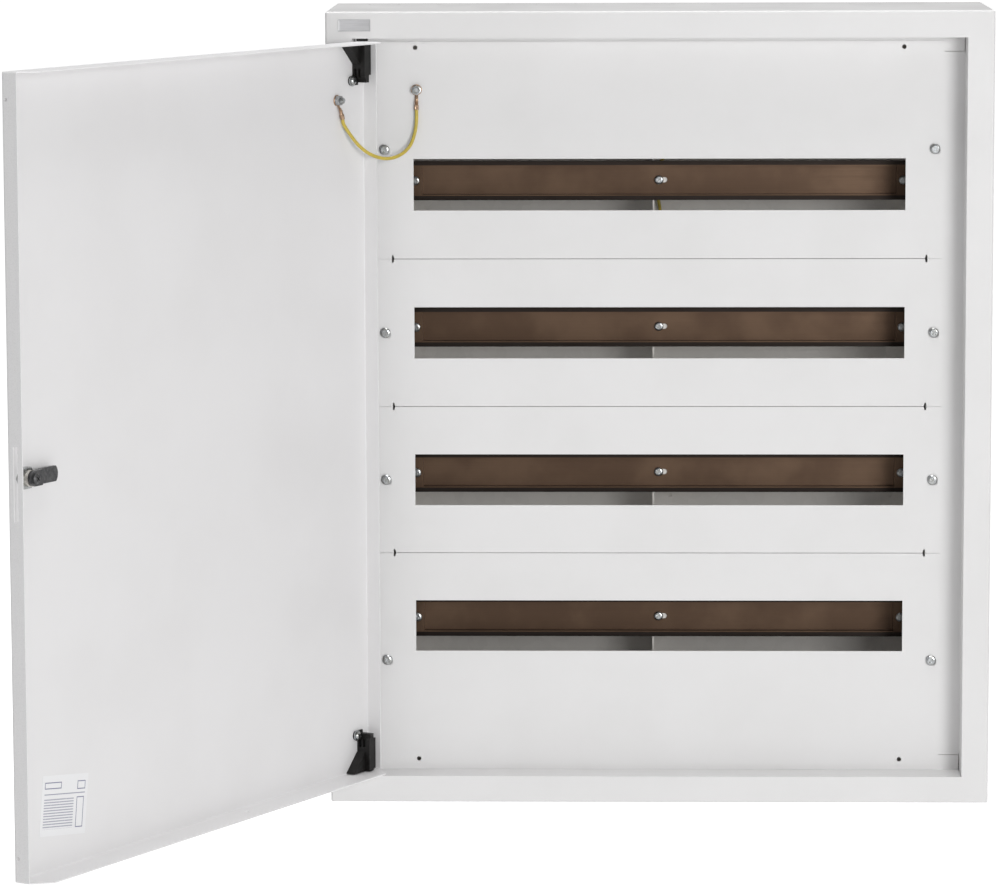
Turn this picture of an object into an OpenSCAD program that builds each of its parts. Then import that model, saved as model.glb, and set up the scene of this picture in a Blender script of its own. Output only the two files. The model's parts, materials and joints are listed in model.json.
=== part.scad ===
// Surface-mounted switchboard cabinet for rows of modular devices.
// Frame: +Z up, the front faces -Y, and the origin is the middle of the wall fixings on the back face.
// The door is drawn open; u, v and z are its own width, depth and height when it is shut.

/* [Cabinet] */
// Outside width of the body
box_w = 582; // [560:1:760]
// Outside height of the body
box_h = 700; // [660:1:900]
// Depth from the wall to the front face
box_d = 170; // [150:1:260]
// Thickness of the painted sheet steel
sheet_t = 1.2; // [1:0.1:1.6]
// Outside radius of the sheet bends
bend_r = 2; // [1.7:0.1:3]
// Width of the front band round the door opening
band_w = 23.5; // [20:0.5:40]
// Depth of the door recess, from the front face to the front of the cover plates
recess_d = 32; // [31:0.5:45]
// Width of the recess flange at the two sides, where the covers are screwed down
side_flange_w = 32; // [28:0.5:45]
// Height of the recess flange at the top and bottom
end_flange_h = 13.5; // [10:0.5:20]
// Gap where the side flanges meet the end flanges
flange_gap = 0.4; // [0.3:0.1:1.5]
// Size of the groove left in each closed corner of the recess
corner_groove = 0.6; // [0.4:0.1:0.8]
// Height of the turned-in edge round the back panel
back_rim = 10; // [8:0.5:12]
// Distance between the wall fixing holes across
wall_fix_w = 510; // [500:1:512]
// Distance between the wall fixing holes up
wall_fix_h = 600; // [500:1:620]
// Diameter of the wall fixing holes
wall_fix_bore = 8; // [5:0.5:10]

/* [Cable entries] */
// Number of knock-outs in the top, and in the bottom
knockouts = 9; // [3:1:9]
// Distance between knock-outs
knockout_pitch = 61.5; // [45:0.5:65]
// Diameter of a knock-out
knockout_d = 28; // [16:0.5:40]
// Width of the groove round a knock-out
knockout_groove = 0.6; // [0.3:0.1:1]
// Sheet left under the groove
knockout_web = 0.4; // [0.3:0.1:0.7]
// Distance of the knock-outs from the wall
knockout_back = 28; // [27:0.5:60]

/* [Rows] */
// Number of modules in a row
modules = 24; // [12:1:24]
// Width of one module
module_w = 18; // [17.5:0.1:18.5]
// Height of a cover cut-out
cutout_h = 45.5; // [45:0.5:50]
// Distance between rows
row_pitch = 131; // [120:1:160]
// Width of the recess flange left showing beside the covers
side_strip = 18.5; // [12:0.5:24]
// Height of the recess flange left showing above and below the covers
end_strip = 4.5; // [3:0.5:9]
// Gap between two covers
cover_gap = 0.5; // [0.4:0.1:2]
// Depth of the stiffening fold behind the long edges of a cover
cover_fold = 12; // [6:0.5:20]
// Distance of a cover screw from the side edge of the cover
cover_screw_in = 7.4; // [6:0.1:9]
// Distance of the middle cover screws from the middle of the cabinet
cover_screw_z = 65.5; // [50:0.5:90]
// Distance of the outer cover screws from the middle of the cabinet
cover_screw_far_z = 227.5; // [200:0.5:250]
// Length of the slanted slot under a cover screw
cover_slot_l = 11; // [7:0.5:12]

/* [Rails] */
// Distance from the front of the covers to the front of the rails
rail_back = 46.5; // [44:0.5:60]
// Height of the top-hat rail
rail_h = 35; // [35:1:35]
// Depth of the top-hat rail
rail_d = 7.5; // [7.5:0.5:15]
// Height of the rail's trough, outside
rail_trough_h = 27; // [27:1:27]
// Thickness of the rail
rail_t = 1; // [0.8:0.1:1.5]
// How far the raised end tab starts inside the cut-out
rail_tab_in = 4.5; // [2:0.5:6]
// Length of the raised end tab
rail_tab_l = 14; // [11:0.5:20]
// Thickness of the rail supports
support_t = 1.5; // [1.2:0.1:2.5]
// Width of the feet of the side supports
side_foot_w = 23.5; // [18:0.5:35]
// Width of the foot of the middle support
mid_foot_w = 21.5; // [18:0.5:35]
// Height of a tab that carries a rail
support_tab_h = 30; // [20:1:33]

/* [Door] */
// Gap between the door and its opening on the hinge side
door_gap_hinge = 2; // [1.5:0.1:4]
// Gap between the door and its opening on the lock side
door_gap_lock = 3; // [2:0.1:5]
// Gap above the door
door_gap_top = 2.5; // [2:0.1:5]
// Gap below the door
door_gap_bottom = 4.5; // [2:0.1:6]
// Depth of the door's side flanges
door_side_d = 14.3; // [12:0.1:18]
// Depth of the door's top and bottom flanges
door_end_d = 28.5; // [20:0.1:29.5]
// Distance of the hinge pins from the hinge edge of the door
pin_in = 6.7; // [6:0.1:9]
// Distance of the hinge pins behind the face of the door
pin_back = 4; // [3.6:0.1:5]
// Diameter of the hinge pins
pin_d = 4; // [3:0.5:5]
// Running clearance round a turning shaft, on the radius
run_clear = 0.05; // [0.02:0.01:0.1]

/* [Lock] */
// Height of the lock above the middle of the cabinet
lock_z = 2; // [-50:1:50]
// Distance of the lock from the free edge of the door
lock_in = 19; // [17:0.5:26]
// Diameter of the lock barrel
barrel_d = 13.5; // [12:0.5:16]
// Diameter of the turning plug
plug_d = 9; // [7:0.5:10]
// Reach of the cam from its pivot
cam_reach = 36; // [34:0.5:38]
// Width of the cam
cam_w = 12.5; // [10:0.5:16]
// Thickness of the cam
cam_t = 2.8; // [2:0.1:3.2]
// Length of the slots that the cam swings through
cam_slot_l = 60; // [60:1:80]
// Width of the slot in the door flange
cam_slot_w = 4; // [3.8:0.1:5]

/* [Earthing] */
// Diameter of the earth studs
stud_d = 5; // [4:0.5:6]
// Length of the earth studs
stud_l = 8; // [7:0.5:11]
// Diameter of the door's bonding lead over its insulation
lead_d = 3; // [2.5:0.1:5]
// Diameter of the inside earth wire over its insulation
wire_d = 3; // [2:0.1:4]
// Length of a terminal bar
bar_l = 150; // [90:1:160]
// Number of terminals in a bar
bar_ways = 12; // [6:1:13]

/* [Hidden] */
$fn = 48;
eps = 0.5;

// Front and opening
open_w = box_w - 2 * band_w;
open_h = box_h - 2 * band_w;
front_y = -box_d;
cover_y = front_y + recess_d;
flange_y = cover_y + sheet_t;

// Covers and rows
rows = 4;
cutout_w = modules * module_w;
cover_w = open_w - 2 * side_strip;
cover_top_z = open_h / 2 - end_strip;
cover_screw_x = cover_w / 2 - cover_screw_in;
cover_screw_d = 5;
cover_head_d = 9;
cover_head_h = 2.6;
fold_end_x = open_w / 2 - side_flange_w - 2.2;
notch = 3;
small_hole_d = 4;
small_hole_x = 214;
small_hole_in = 5;
function row_z(i) = (rows - 1) / 2 * row_pitch - i * row_pitch;

// Rails and supports
rail_y = cover_y + rail_back;
rail_half = cutout_w / 2 - rail_tab_in;
rail_end = rail_half + rail_tab_l;
rail_screw_x = rail_half + 5;
rail_screw_d = 4.5;
rail_head_d = 8;
rail_head_h = 2.4;
panel_y = -sheet_t;
support_h = open_h - 2 * end_strip - 16;
side_web_x = rail_end + 4.5;
mid_web_x = -5.5;
foot_hole_in = 5.3;
foot_rivet_zs = [support_h / 2 - 14, 110, -30, -160, 14 - support_h / 2];
foot_hole_zs = [165, -98.5];
foot_hole_d = 3.5;
rivet_d = 3.2;
rivet_head_d = 6.5;
rivet_head_h = 0.9;

// Door
door_w = open_w - door_gap_hinge - door_gap_lock;
door_top = open_h / 2 - door_gap_top;
door_bottom = -open_h / 2 + door_gap_bottom;
door_x = -open_w / 2 + door_gap_hinge;
door_open = 119;
hinge_x = door_x + pin_in;
hinge_y = front_y + pin_back;
lock_u = door_w - lock_in;
cam_v = 6.3;
cam_hub_v = 10.3;
cam_hub_l = 9;
cam_slot_v = cam_v + cam_t / 2;
cam_slot_z = lock_z - 3;
lip_slot_w = cam_slot_w + 1;
barrel_head_d = 20;
barrel_head_h = 2;
nut_af = 17;
nut_h = 4.6;
cam_screw_d = 3;
door_hole_z = open_h / 2 - 24.5;
door_hole_v = 4;
door_hole_d = 3;
drain_u = 212;
drain_v = 12;
drain_d = 4;

// Hinges
hinge_seat_gap = 0.3;
bush_d = 10;
bush_spigot_d = 5.6;
bush_spigot_l = 2.2;
block_back = 9.7;
block_wide = 37.5;
block_narrow = 19;
block_taper = 18;
block_l = 33;
rib_in = 12;
rib_back = 14;
screw_u = 22;
screw_s = 32.5;
tongue_w = 8;
tongue_t = 1.6;
washer_d = 9.5;
washer_t = 0.8;
hinge_screw_d = 4;
bush_front = 0.4;

// Earth studs, nuts and lugs
nut_af5 = 8;
nut_h5 = 4;
lug_t = 1;
lug_d = 9.6;
barrel_lug_d = lead_d + 1;
barrel_lug_l = 8;
lug_neck = 9.5;
fit = 0.15;
cover_stud_x = hinge_x + 45.8;
cover_stud_z = cover_top_z - 42;
door_stud_u = 45;
door_stud_z = door_top - 49.5;
door_lug_tilt = 20;
chassis_stud_x = 1.5;
chassis_stud_z = 140;

// Terminal bars
bar_h = 10;
bar_t = 8;
bar_y = -62;
bar_z = 284;
bar_mid_x = 96;
bar_bore = 5;
bar_screw_d = 4;
bar_screw_l = 4;
holder_w = 12;

// Labels
plate_w = 28;
plate_h = 10.5;
plate_t = 0.6;
plate_x = 25.5 - box_w / 2;
plate_z = box_h / 2 - 12;
label_w = 63;
label_h = 49;
label_t = 0.2;
label_u = door_w - 67;
label_z = door_bottom + 51.5;
label_tilt = 7.5;

// Point of the open door at u, v and z
function door_point(u, v, z) = [
    hinge_x + (u - pin_in) * cos(door_open) + (v - pin_back) * sin(door_open),
    hinge_y - (u - pin_in) * sin(door_open) + (v - pin_back) * cos(door_open), z];
// Point on the axis of a lug's barrel, s below its stud
function cover_lug_point(s) = [cover_stud_x, cover_y - lug_t - lead_d / 2, cover_stud_z - s];
function door_lug_point(s) = door_point(door_stud_u - s * sin(door_lug_tilt),
    sheet_t + lug_t + lead_d / 2, door_stud_z - s * cos(door_lug_tilt));
function chassis_lug_point(s) =
    [chassis_stud_x, panel_y - support_t - lug_t - wire_d / 2, chassis_stud_z + s];
lug_l = lug_neck + barrel_lug_l;

// Middle of the bonding lead's route, from the hinge pin and the height of the cover's stud
lead_middle = [[45.4, 25, -31], [43.9, 24.2, -39], [40.5, 21.5, -48], [34.5, 17, -54.5], [27, 11, -58],
    [19, 3.5, -58.5], [11, -4.5, -56], [3.5, -11.5, -51.5], [-3.5, -18.5, -44.5], [-9.5, -24, -36]];
lead_route = concat([cover_lug_point(lug_l), cover_lug_point(lug_l + 6)],
    [for (p = lead_middle) [hinge_x, hinge_y, cover_stud_z] + p],
    [door_lug_point(lug_l + 5), door_lug_point(lug_l)]);
// Middle of the inside earth wire's route, from the chassis stud
wire_middle = [[29, -60, 123], [27, -58, 112], [21, -55, 101], [12.5, -51.5, 90], [4.5, -48.5, 78],
    [-0.5, -45, 66], [-1.8, -38.5, 55], [-1.9, -30, 46], [-1.8, -20.5, 38], [-1.2, -12, 31.5],
    [-0.4, -6.5, 26.5]];

// ---- Shared shapes ----
function bar_way_x(side, k) = side * bar_mid_x + (k - (bar_ways - 1) / 2) * (bar_l - 20) / (bar_ways - 1);

module rounded_rect(w, h, r) {
    square([w - 2 * r, h], center = true);
    square([w, h - 2 * r], center = true);
    for (x = [-1, 1], z = [-1, 1]) translate([x * (w / 2 - r), z * (h / 2 - r)]) circle(r);
}

// A block from y = 0 to y = d with its corners and its front edges rounded
module rounded_block(w, d, h, r) {
    intersection() {
        translate([0, d, 0]) rotate([90, 0, 0]) linear_extrude(d) rounded_rect(w, h, r);
        translate([0, d, -h / 2]) linear_extrude(h) rounded_rect(w, 2 * d, r);
        translate([-w / 2, d, 0]) rotate([90, 0, 90]) linear_extrude(w) rounded_rect(2 * d, h, r);
    }
}

module oblong(l, d, h) {
    linear_extrude(h) {
        square([l - d, d], center = true);
        for (x = [-1, 1]) translate([x * (l - d) / 2, 0]) circle(d / 2);
    }
}

// A plate in the XZ plane with its front at y = 0
module plate(w, h, t) {
    translate([-w / 2, 0, -h / 2]) cube([w, t, h]);
}

module y_cylinder(d, l) {
    rotate([-90, 0, 0]) cylinder(d = d, h = l);
}

// A screw with its head's seat at y = 0, its head towards -Y and its shank towards +Y
module pan_screw(head_d, head_h, shank_d, shank_l) {
    difference() {
        union() {
            rotate([90, 0, 0]) rotate_extrude() polygon([[0, 0], [head_d / 2, 0],
                [head_d / 2, head_h * 0.55], [head_d * 0.4, head_h * 0.9], [head_d * 0.3, head_h],
                [0, head_h]]);
            y_cylinder(shank_d, shank_l);
        }
        for (a = [45, 135]) rotate([0, a, 0])
            translate([-head_d * 0.27, -head_h - eps, -head_d * 0.06])
            cube([head_d * 0.54, head_h * 0.6 + eps, head_d * 0.12]);
    }
}

// A hexagon nut with its seat at y = 0, standing towards -Y
module hex_nut(af, h, bore) {
    rotate([90, 0, 0]) difference() {
        cylinder(d = af / cos(30), h = h, $fn = 6);
        translate([0, 0, -eps]) cylinder(d = bore, h = h + 2 * eps);
    }
}

// A crimped ring lug lying on y = 0 and standing towards -Y, with its barrel pointing down
module ring_lug(barrel_d, wire) {
    difference() {
        union() {
            rotate([90, 0, 0]) cylinder(d = lug_d, h = lug_t);
            translate([-barrel_d / 2 + 0.5, -lug_t, -lug_neck]) cube([barrel_d - 1, lug_t, lug_neck]);
            translate([0, -lug_t - wire / 2, -lug_neck - barrel_lug_l])
                cylinder(d = barrel_d, h = barrel_lug_l);
            translate([-barrel_d / 2 + 0.5, -lug_t - wire / 2, -lug_neck - 1])
                cube([barrel_d - 1, wire / 2 + lug_t, 1.6]);
        }
        rotate([90, 0, 0]) translate([0, 0, -eps]) cylinder(d = stud_d + 2 * fit, h = lug_t + 2 * eps);
    }
}

function unit(v) = v / norm(v);
function along(p, i) = unit(p[min(i + 1, len(p) - 1)] - p[max(i - 1, 0)]);

// A tube of 8 sides swept along the points of a route; side is a direction that the route never takes
module tube(p, d, side) {
    n = 8;
    rings = [for (i = [0:len(p) - 1], k = [0:n - 1])
        let (t = along(p, i), a = unit(cross(t, side)), b = cross(t, a))
        p[i] + d / 2 * (cos(k * 360 / n) * a + sin(k * 360 / n) * b)];
    sides = [for (i = [0:len(p) - 2], k = [0:n - 1])
        [i * n + k, i * n + (k + 1) % n, (i + 1) * n + (k + 1) % n, (i + 1) * n + k]];
    polyhedron(rings, concat([[for (k = [0:n - 1]) n - 1 - k]], sides,
        [[for (k = [0:n - 1]) (len(p) - 1) * n + k]]));
}

// ---- Body ----
module knockout_grooves(outer_z) {
    for (i = [0:knockouts - 1])
        translate([(i - (knockouts - 1) / 2) * knockout_pitch, -knockout_back, outer_z]) difference() {
            cylinder(d = knockout_d, h = 2 * (sheet_t - knockout_web), center = true);
            cylinder(d = knockout_d - 2 * knockout_groove, h = 4 * sheet_t, center = true);
        }
}

module recess_lips() {
    translate([0, front_y + sheet_t / 2, 0]) difference() {
        plate(open_w + 2 * sheet_t, open_h + 2 * sheet_t, recess_d + sheet_t * 1.5);
        translate([0, -eps, 0]) plate(open_w, open_h, recess_d + 3 * sheet_t);
        for (x = [-1, 1], z = [-1, 1]) translate([x * open_w / 2, sheet_t, z * open_h / 2])
            plate(2 * corner_groove, 2 * corner_groove, recess_d + 3 * sheet_t);
    }
}

module recess_flanges() {
    side_h = open_h - 2 * end_flange_h - 2 * flange_gap;
    for (x = [-1, 1]) translate([x * (open_w - side_flange_w) / 2 + x * sheet_t / 2, flange_y, 0])
        plate(side_flange_w + sheet_t, side_h, sheet_t);
    for (z = [-1, 1]) translate([0, flange_y, z * (open_h - end_flange_h) / 2 + z * sheet_t / 2])
        plate(open_w - 2 * corner_groove, end_flange_h + sheet_t, sheet_t);
}

module cover_screw_spots() {
    for (x = [-1, 1], z = [-1, 1], far = [cover_screw_z, cover_screw_far_z])
        translate([x * cover_screw_x, 0, z * far]) children();
}

module body_shell() {
    color("whitesmoke") difference() {
        union() {
            translate([0, front_y, 0]) difference() {
                rounded_block(box_w, box_d, box_h, bend_r);
                translate([0, sheet_t, 0])
                    rounded_block(box_w - 2 * sheet_t, box_d, box_h - 2 * sheet_t, bend_r - sheet_t);
                translate([0, -eps, 0]) plate(open_w, open_h, 2 * sheet_t);
            }
            recess_lips();
            recess_flanges();
        }
        for (z = [-1, 1]) {
            knockout_grooves(z * box_h / 2);
            translate([hinge_x, hinge_y, z * open_h / 2])
                cylinder(d = bush_spigot_d + 2 * fit, h = 4 * sheet_t, center = true);
        }
        translate([open_w / 2 - eps, front_y + cam_slot_v - lip_slot_w / 2, cam_slot_z - cam_slot_l / 2])
            cube([3 * sheet_t, lip_slot_w, cam_slot_l]);
        cover_screw_spots() translate([0, flange_y - eps, 0])
            y_cylinder(cover_screw_d + 2 * fit, 3 * sheet_t);
        for (x = [-1, 1], z = [-1, 1])
            translate([x * small_hole_x, flange_y - eps, z * (cover_top_z - small_hole_in)])
            y_cylinder(small_hole_d, 3 * sheet_t);
    }
}

module back_panel() {
    w = box_w - 2 * sheet_t;
    h = box_h - 2 * sheet_t;
    color("gainsboro") difference() {
        rotate([90, 0, 0]) linear_extrude(back_rim) rounded_rect(w, h, bend_r);
        translate([0, -sheet_t, 0]) rotate([90, 0, 0]) linear_extrude(back_rim)
            rounded_rect(w - 2 * sheet_t, h - 2 * sheet_t, bend_r - sheet_t);
        for (x = [-1, 1], z = [-1, 1]) translate([x * wall_fix_w / 2, -2 * sheet_t, z * wall_fix_h / 2])
            y_cylinder(wall_fix_bore, 4 * sheet_t);
        for (x = [-1, 0, 1], z = foot_rivet_zs) translate([foot_hole_x(x), panel_y - eps, z])
            y_cylinder(rivet_d + 2 * fit, 3 * sheet_t);
    }
}

module nameplate() {
    color("silver") translate([plate_x, front_y - plate_t, plate_z]) plate(plate_w, plate_h, plate_t);
}

// ---- Rail supports ----
// x is -1 for the left support, 0 for the middle one and 1 for the right one
function foot_hole_x(x) = x == 0 ? mid_web_x + mid_foot_w - foot_hole_in
    : x * (side_web_x - side_foot_w + foot_hole_in);

module foot_holes(x) {
    for (z = foot_rivet_zs) translate([foot_hole_x(x), panel_y - support_t - eps, z])
        y_cylinder(rivet_d + 2 * fit, 2 * support_t);
    for (z = foot_hole_zs) translate([foot_hole_x(x), panel_y - support_t - eps, z])
        y_cylinder(foot_hole_d, 2 * support_t);
}

module side_support(x) {
    tab_y = rail_y + rail_t;
    tab_w = side_web_x - rail_half - 1;
    mirror([x < 0 ? 1 : 0, 0, 0]) difference() {
        union() {
            translate([side_web_x - support_t, tab_y, -support_h / 2])
                cube([support_t, panel_y - tab_y, support_h]);
            translate([side_web_x - side_foot_w, panel_y - support_t, -support_h / 2])
                cube([side_foot_w, support_t, support_h]);
            for (i = [0:rows - 1]) translate([side_web_x - tab_w, tab_y, row_z(i) - support_tab_h / 2])
                cube([tab_w, support_t, support_tab_h]);
        }
        for (i = [0:rows - 1]) translate([rail_screw_x, tab_y - eps, row_z(i)])
            y_cylinder(rail_screw_d + 2 * fit, 4 * support_t);
        foot_holes(1);
    }
}

module support_left() {
    color("gainsboro") side_support(-1);
}

module support_right() {
    color("gainsboro") side_support(1);
}

module support_middle() {
    tab_y = rail_y + rail_d;
    tab_w = 15;
    color("gainsboro") difference() {
        union() {
            translate([mid_web_x, tab_y, -support_h / 2]) cube([support_t, panel_y - tab_y, support_h]);
            translate([mid_web_x, panel_y - support_t, -support_h / 2])
                cube([mid_foot_w, support_t, support_h]);
            for (i = [0:rows - 1]) translate([mid_web_x, tab_y, row_z(i) - support_tab_h / 2 + 2.5])
                cube([tab_w, support_t, support_tab_h - 5]);
        }
        for (i = [0:rows - 1]) translate([0, tab_y - eps, row_z(i)])
            y_cylinder(rail_screw_d + 2 * fit, 4 * support_t);
        foot_holes(0);
        translate([chassis_stud_x, panel_y - support_t - eps, chassis_stud_z])
            y_cylinder(stud_d + 2 * fit, 4 * support_t);
    }
}

module support_rivets() {
    color("dimgray") for (x = [-1, 0, 1], z = foot_rivet_zs)
        translate([foot_hole_x(x), panel_y - support_t, z]) {
            rotate([90, 0, 0]) rotate_extrude() polygon([[1, 0], [rivet_head_d / 2, 0],
                [rivet_head_d / 2 - 0.6, rivet_head_h * 0.7], [1.8, rivet_head_h], [1, rivet_head_h]]);
            y_cylinder(rivet_d, support_t + sheet_t);
        }
}

// ---- Rails ----
module rail(i) {
    color("darkgray") translate([0, rail_y, row_z(i)]) difference() {
        union() {
            translate([-rail_half, 0, 0]) rotate([90, 0, 90]) linear_extrude(2 * rail_half)
                polygon([[0, rail_h / 2], [rail_t, rail_h / 2], [rail_t, rail_trough_h / 2],
                    [rail_d, rail_trough_h / 2], [rail_d, -rail_trough_h / 2], [rail_t, -rail_trough_h / 2],
                    [rail_t, -rail_h / 2], [0, -rail_h / 2], [0, -rail_trough_h / 2 + rail_t],
                    [rail_d - rail_t, -rail_trough_h / 2 + rail_t],
                    [rail_d - rail_t, rail_trough_h / 2 - rail_t], [0, rail_trough_h / 2 - rail_t]]);
            for (x = [-1, 1]) {
                translate([x * (rail_half - rail_t / 2), 0, 0]) plate(rail_t, rail_trough_h, rail_d);
                translate([x * (rail_half + rail_end - rail_t) / 2, 0, 0])
                    plate(rail_end - rail_half + rail_t, rail_h, rail_t);
            }
        }
        for (x = [-1, 1]) translate([x * rail_screw_x, -eps, 0])
            rotate([-90, 0, 0]) oblong(rail_screw_d + 3, rail_screw_d + 2 * fit, rail_d);
        translate([2, rail_d - rail_t - eps, 0])
            rotate([-90, 0, 0]) oblong(rail_screw_d + 6.5, rail_screw_d + 2 * fit, rail_d);
    }
}

module rail_1() {
    rail(0);
}

module rail_2() {
    rail(1);
}

module rail_3() {
    rail(2);
}

module rail_4() {
    rail(3);
}

module rail_screws() {
    color("silver") for (i = [0:rows - 1]) {
        for (x = [-1, 1]) translate([x * rail_screw_x, rail_y, row_z(i)])
            pan_screw(rail_head_d, rail_head_h, rail_screw_d, rail_t + support_t + 3);
        translate([0, rail_y + rail_d - rail_t, row_z(i)])
            pan_screw(rail_head_d, rail_head_h, rail_screw_d, rail_t + support_t + 3);
    }
}

// ---- Covers ----
// i is the row of the cut-out, and top and bottom are the heights of the cover's edges. seams are the edges
// that meet another cover, each with the side it faces, and outer is the side of a free edge
module cover(i, top, bottom, seams, outer) {
    color("whitesmoke") translate([0, cover_y, 0]) difference() {
        union() {
            translate([0, 0, (top + bottom) / 2]) plate(cover_w, top - bottom, sheet_t);
            for (s = seams) translate([0, 0, s[0] - s[1] * sheet_t / 2])
                plate(2 * fold_end_x, sheet_t, cover_fold);
        }
        translate([0, -eps, row_z(i)]) plate(cutout_w, cutout_h, 3 * sheet_t);
        for (x = [-1, 1], s = seams)
            translate([x * (fold_end_x + notch / 2), 2 * sheet_t, s[0]]) rotate([90, 0, 0])
            linear_extrude(3 * sheet_t) polygon([[-notch / 2, s[1] * eps], [notch / 2, s[1] * eps],
                [notch * 0.2, -s[1] * notch], [-notch * 0.2, -s[1] * notch]]);
        for (x = [-1, 1], z = [-cover_screw_far_z, -cover_screw_z, cover_screw_z, cover_screw_far_z])
            translate([x * cover_screw_x, -eps, z]) rotate([-90, 45, 0])
            oblong(cover_slot_l, cover_screw_d + 2 * fit, 3 * sheet_t);
        for (x = [-1, 1], s = outer) translate([x * small_hole_x, -eps, s * (cover_top_z - small_hole_in)])
            y_cylinder(small_hole_d, 3 * sheet_t);
    }
}

module cover_top() {
    seam = row_pitch + cover_gap / 2;
    cover(0, cover_top_z, seam, [[seam, -1]], [1]);
}

module cover_upper() {
    top = row_pitch - cover_gap / 2;
    bottom = cover_gap / 2;
    cover(1, top, bottom, [[top, 1], [bottom, -1]], []);
}

module cover_lower() {
    top = -cover_gap / 2;
    bottom = cover_gap / 2 - row_pitch;
    cover(2, top, bottom, [[top, 1], [bottom, -1]], []);
}

module cover_bottom() {
    seam = -row_pitch - cover_gap / 2;
    cover(3, seam, -cover_top_z, [[seam, 1]], [-1]);
}

module cover_screws() {
    color("silver") cover_screw_spots() translate([0, cover_y, 0])
        pan_screw(cover_head_d, cover_head_h, cover_screw_d, 10);
}

module cover_nuts() {
    color("silver") cover_screw_spots() translate([0, flange_y + sheet_t + nut_h5, 0])
        hex_nut(nut_af5, nut_h5, cover_screw_d + 0.1);
}

// ---- Earthing ----
module cover_earth_stud() {
    color("silver") translate([cover_stud_x, cover_y, cover_stud_z]) rotate([90, 0, 0])
        cylinder(d = stud_d, h = stud_l);
}

module cover_earth_nut() {
    color("silver") translate([cover_stud_x, cover_y - lug_t, cover_stud_z])
        hex_nut(nut_af5, nut_h5, stud_d + 0.1);
}

module cover_ring_lug() {
    color("peru") translate([cover_stud_x, cover_y, cover_stud_z]) ring_lug(barrel_lug_d, lead_d);
}

module bonding_lead() {
    color("gold") tube(lead_route, lead_d, [0.67, -0.74, 0]);
}

module chassis_earth_stud() {
    color("silver") translate([chassis_stud_x, panel_y - support_t - stud_l, chassis_stud_z])
        y_cylinder(stud_d, support_t + stud_l);
}

module chassis_earth_nut() {
    color("silver") translate([chassis_stud_x, panel_y - support_t - lug_t, chassis_stud_z])
        hex_nut(nut_af5, nut_h5, stud_d + 0.1);
}

module chassis_ring_lug() {
    color("peru") translate([chassis_stud_x, panel_y - support_t, chassis_stud_z]) rotate([0, 180, 0])
        ring_lug(wire_d + 1, wire_d);
}

module inside_earth_wire() {
    x = bar_way_x(1, 0);
    route = concat([[x, bar_y, bar_z + 3], [x, bar_y, bar_z - bar_h]],
        [for (p = wire_middle) [chassis_stud_x, panel_y, chassis_stud_z] + p],
        [chassis_lug_point(lug_l + 4), chassis_lug_point(lug_l)]);
    color("yellowgreen") tube(route, wire_d, [0.2, 1, 0.1]);
}

// ---- Terminal bars, side is 1 for the earth bar and -1 for the neutral bar ----

module bar(side) {
    color("goldenrod") difference() {
        translate([side * bar_mid_x, bar_y - bar_t / 2, bar_z]) plate(bar_l, bar_h, bar_t);
        for (k = [0:bar_ways - 1]) translate([bar_way_x(side, k), bar_y, bar_z]) {
            translate([0, 0, -bar_h]) cylinder(d = bar_bore - 1, h = 2 * bar_h, $fn = 24);
            rotate([90, 0, 0]) cylinder(d = bar_screw_d + 0.1, h = bar_t, $fn = 24);
        }
        for (x = [-1, 1]) translate([side * bar_mid_x + x * (bar_l / 2 - 4), bar_y - bar_t, bar_z])
            y_cylinder(3.2, 2 * bar_t);
    }
}

module bar_screws(side) {
    color("silver") for (k = [0:bar_ways - 1])
        translate([bar_way_x(side, k), bar_y - bar_t / 2 - 2, bar_z]) difference() {
            y_cylinder(bar_screw_d, bar_screw_l);
            translate([-bar_screw_d, -eps, -0.4]) cube([2 * bar_screw_d, 1 + eps, 0.8]);
        }
}

module bar_holders(side, tint) {
    deep = panel_y - bar_y - bar_t / 2;
    color(tint) for (x = [-1, 1]) translate([side * bar_mid_x + x * (bar_l / 2 - 4), 0, bar_z]) {
        translate([0, bar_y + bar_t / 2, 0]) plate(holder_w / 2, holder_w, deep);
        translate([0, panel_y - 3, 0]) plate(holder_w, holder_w * 2, 3);
        translate([0, bar_y - bar_t / 2, 0]) y_cylinder(3, bar_t + 1);
    }
}

module earth_bar() {
    bar(1);
}

module earth_bar_screws() {
    bar_screws(1);
}

module earth_bar_holders() {
    bar_holders(1, "seagreen");
}

module neutral_bar() {
    bar(-1);
}

module neutral_bar_screws() {
    bar_screws(-1);
}

module neutral_bar_holders() {
    bar_holders(-1, "steelblue");
}

// ---- Door, drawn shut at u, v, z and swung open about the hinge pins ----
module on_door() {
    translate([hinge_x, hinge_y, 0]) rotate([0, 0, -door_open])
        translate([door_x - hinge_x, front_y - hinge_y, 0]) children();
}

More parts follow.
